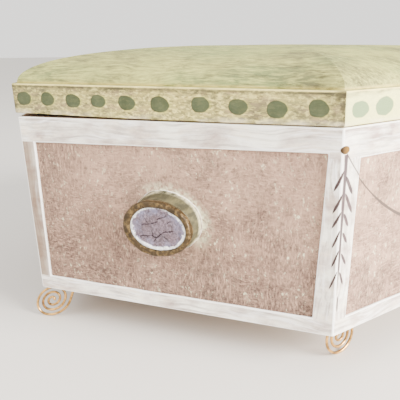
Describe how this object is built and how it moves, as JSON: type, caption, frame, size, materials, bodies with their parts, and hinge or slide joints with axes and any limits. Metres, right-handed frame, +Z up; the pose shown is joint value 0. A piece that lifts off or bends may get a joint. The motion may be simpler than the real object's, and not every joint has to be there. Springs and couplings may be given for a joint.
{
  "type": "keepsake box",
  "caption": "Hexagonal painted wooden keepsake box with framed panels, a domed lift-off lid, an oval stone knob on the front and spiral wire feet.",
  "frame": {"origin": "under the middle of the overall box, on the plane that the feet stand on", "axes": "+Z up; the wall with the knob faces -Y; +X to the right seen from the knob's side"},
  "size_m": [0.3216, 0.2898, 0.1412],
  "materials": {
    "mauve_paint": "mauve-taupe paint dry-brushed over white, matte and mottled",
    "white_paint": "chalky white paint, matte, lightly streaked",
    "sage_paint": "sage green wash, streaked, worn at the edges",
    "cream_sage_paint": "cream and sage wash with painted sage dots",
    "brass_wire": "satin brass wire",
    "aged_gilt": "aged gilt, brown in the hollows",
    "olive_gilt": "olive and gold brushed paint with a cream edge",
    "druzy_stone": "cracked lavender stone with a rough white edge"
  },
  "bodies": {
    "root": {"wall_front": "mauve_paint", "top_rail_front": "white_paint", "bottom_rail_front": "white_paint", "left_stile_front": "white_paint", "right_stile_front": "white_paint", "wall_right_front": "mauve_paint", "top_rail_right_front": "white_paint", "bottom_rail_right_front": "white_paint", "left_stile_right_front": "white_paint", "right_stile_right_front": "white_paint", "wall_right_back": "mauve_paint", "top_rail_right_back": "white_paint", "bottom_rail_right_back": "white_paint", "left_stile_right_back": "white_paint", "right_stile_right_back": "white_paint", "wall_back": "mauve_paint", "top_rail_back": "white_paint", "bottom_rail_back": "white_paint", "left_stile_back": "white_paint", "right_stile_back": "white_paint", "wall_left_back": "mauve_paint", "top_rail_left_back": "white_paint", "bottom_rail_left_back": "white_paint", "left_stile_left_back": "white_paint", "right_stile_left_back": "white_paint", "wall_left_front": "mauve_paint", "top_rail_left_front": "white_paint", "bottom_rail_left_front": "white_paint", "left_stile_left_front": "white_paint", "right_stile_left_front": "white_paint", "floor": "mauve_paint", "foot_right": "brass_wire", "foot_back_right": "brass_wire", "foot_back_left": "brass_wire", "foot_left": "brass_wire", "foot_front_left": "brass_wire", "foot_front_right": "brass_wire", "knob_drum": "olive_gilt", "knob_bezel": "aged_gilt", "knob_stone": "druzy_stone", "lid_rim_front": "cream_sage_paint", "lid_lip_front": "cream_sage_paint", "lid_rim_right_front": "cream_sage_paint", "lid_lip_right_front": "cream_sage_paint", "lid_rim_right_back": "cream_sage_paint", "lid_lip_right_back": "cream_sage_paint", "lid_rim_back": "cream_sage_paint", "lid_lip_back": "cream_sage_paint", "lid_rim_left_back": "cream_sage_paint", "lid_lip_left_back": "cream_sage_paint", "lid_rim_left_front": "cream_sage_paint", "lid_lip_left_front": "cream_sage_paint", "lid_dome": "sage_paint"}
  },
  "joints": []
}
